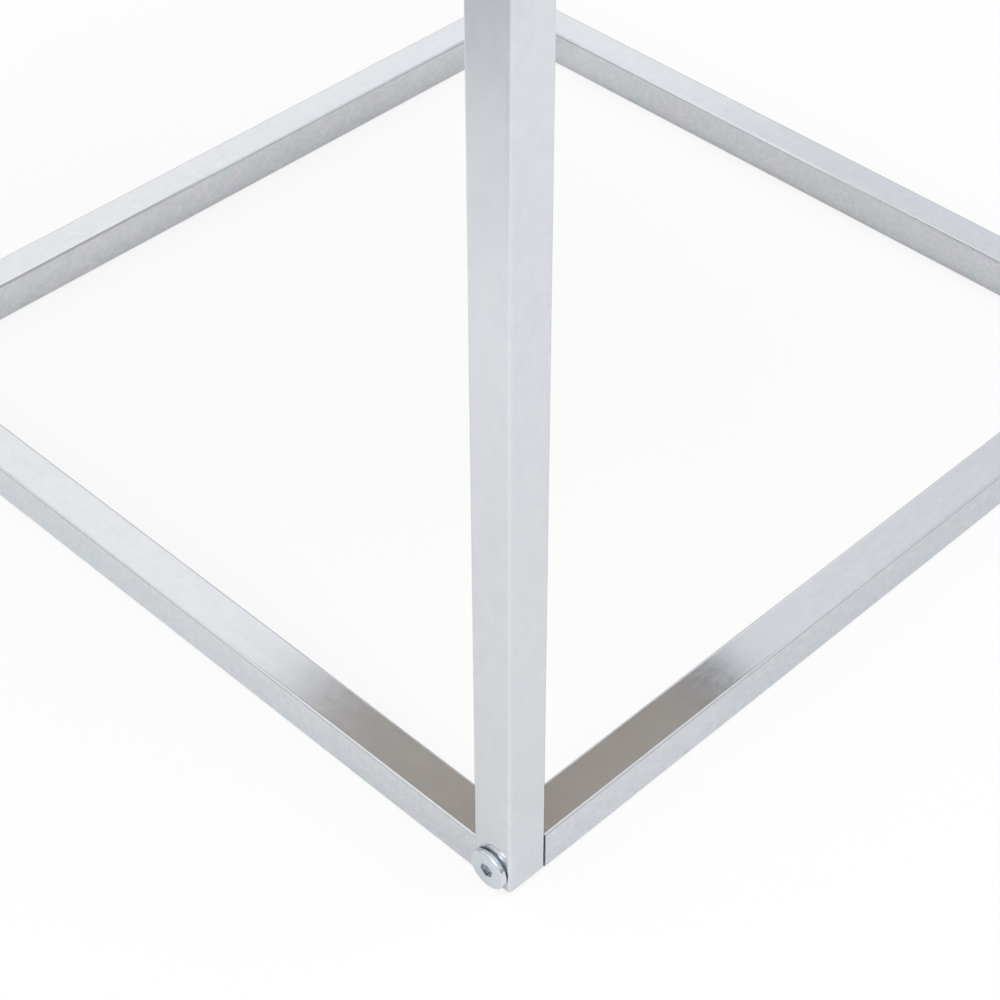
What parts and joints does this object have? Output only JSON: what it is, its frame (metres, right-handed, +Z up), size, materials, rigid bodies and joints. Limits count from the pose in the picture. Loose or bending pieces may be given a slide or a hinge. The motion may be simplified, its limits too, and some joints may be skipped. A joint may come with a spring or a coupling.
{
  "type": "valet stand",
  "caption": "Chair-type valet stand: square steel tube base with a wooden seat board, and a tall back carrying a trouser bar and a shoulder-form jacket hanger.",
  "frame": {"origin": "on the floor, under the centre of the base", "axes": "+X to the stand's right seen from the front, +Y to its back, +Z up; the left and right halves mirror each other about the YZ plane"},
  "size_m": [0.4812, 0.466, 1.164],
  "materials": {
    "zinc_plated_tube": "bright zinc-plated square steel tube, satin",
    "zinc_hardware": "bright blue-passivated zinc plating",
    "brass_inserts": "plain turned brass",
    "grey_plastic": "moulded light grey polyethylene",
    "oak": "pale greyed oak, matt lacquer",
    "beech": "plain beech dowel"
  },
  "bodies": {
    "root": {"left_front_post": "zinc_plated_tube", "left_rear_post": "zinc_plated_tube", "left_floor_rail": "zinc_plated_tube", "left_seat_rail": "zinc_plated_tube", "right_front_post": "zinc_plated_tube", "right_rear_post": "zinc_plated_tube", "right_floor_rail": "zinc_plated_tube", "right_seat_rail": "zinc_plated_tube", "front_floor_rail": "zinc_plated_tube", "rear_floor_rail": "zinc_plated_tube", "front_seat_rail": "zinc_plated_tube", "rear_seat_rail": "zinc_plated_tube", "top_cross_rail": "zinc_plated_tube", "rail_insert_nuts": "zinc_hardware", "connector_bolts": "zinc_hardware", "bolt_washers": "zinc_hardware", "seat_screws": "zinc_hardware", "hanger_screws": "zinc_hardware", "trouser_bar_inserts": "brass_inserts", "post_foot_plugs": "grey_plastic", "rear_post_caps": "grey_plastic", "seat_board": "oak", "trouser_bar": "oak", "hanger_neck": "oak", "left_hanger_shoulder": "oak", "right_hanger_shoulder": "oak", "shoulder_dowels": "beech"}
  },
  "joints": []
}
